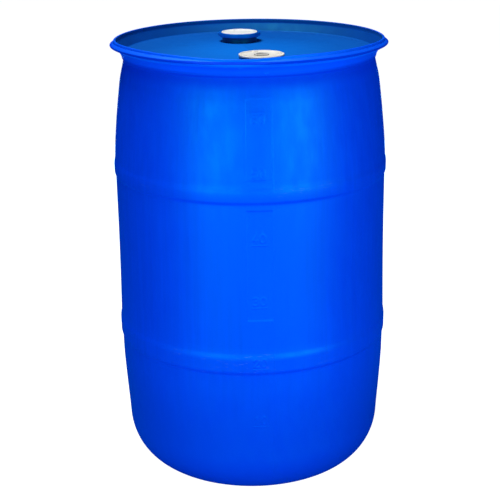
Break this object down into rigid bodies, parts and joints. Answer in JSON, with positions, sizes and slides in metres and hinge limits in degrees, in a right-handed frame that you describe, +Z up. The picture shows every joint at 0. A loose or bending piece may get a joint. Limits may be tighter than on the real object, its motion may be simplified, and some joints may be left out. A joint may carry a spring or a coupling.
{
  "type": "closed-head plastic drum",
  "caption": "Closed-head blow-moulded plastic drum with rolling hoops, an L-shaped handling ring around a recessed deck and screw bungs with gaskets.",
  "frame": {"origin": "on the drum's axis, at the floor it stands on", "axes": "+Z up along the drum's axis, -Y towards the front with the content strip and the larger-flanged bung"},
  "size_m": [0.5889, 0.589, 0.935],
  "materials": {
    "blue_body": "satin",
    "blue_ring": "satin",
    "blue_neck": "satin",
    "gasket_rubber": "matte",
    "cream_plug": "satin",
    "grey_plug": "satin",
    "white_plug": "satin"
  },
  "bodies": {
    "drum": {"drum_shell": "blue_body", "handling_ring": "blue_ring", "front_bung_housing": "blue_neck", "rear_bung_housing": "blue_neck"},
    "front_seal": {"front_gasket": "gasket_rubber"},
    "front_bung": {"front_plug": "cream_plug"},
    "centre_seal": {"front_centre_gasket": "gasket_rubber"},
    "centre_bung": {"front_centre_plug": "grey_plug"},
    "rear_seal": {"rear_gasket": "gasket_rubber"},
    "rear_bung": {"rear_plug": "white_plug"}
  },
  "joints": [
    {"name": "front_lift", "type": "slide", "parent": "drum", "child": "front_seal", "axis": [0, 0, 1], "range_m": [0, 0.0255]},
    {"name": "front_turn", "type": "hinge", "parent": "front_seal", "child": "front_bung", "pos_m": [0.0245, -0.155, 0.9215], "axis": [0, 0, 1], "range_deg": [0, 1530]},
    {"name": "centre_lift", "type": "slide", "parent": "front_bung", "child": "centre_seal", "axis": [0, 0, 1], "range_m": [0, 0.0159]},
    {"name": "centre_turn", "type": "hinge", "parent": "centre_seal", "child": "centre_bung", "pos_m": [0.0245, -0.155, 0.9239], "axis": [0, 0, 1], "range_deg": [0, 3150]},
    {"name": "rear_lift", "type": "slide", "parent": "drum", "child": "rear_seal", "axis": [0, 0, 1], "range_m": [0, 0.027]},
    {"name": "rear_turn", "type": "hinge", "parent": "rear_seal", "child": "rear_bung", "pos_m": [-0.0205, 0.155, 0.921], "axis": [0, 0, 1], "range_deg": [0, 1620]}
  ],
  "couplings": [
    {"joint": "front_lift", "follows": "front_turn", "m_per_rad": 0.00095492},
    {"joint": "centre_lift", "follows": "centre_turn", "m_per_rad": 0.0002887},
    {"joint": "rear_lift", "follows": "rear_turn", "m_per_rad": 0.00095492}
  ]
}
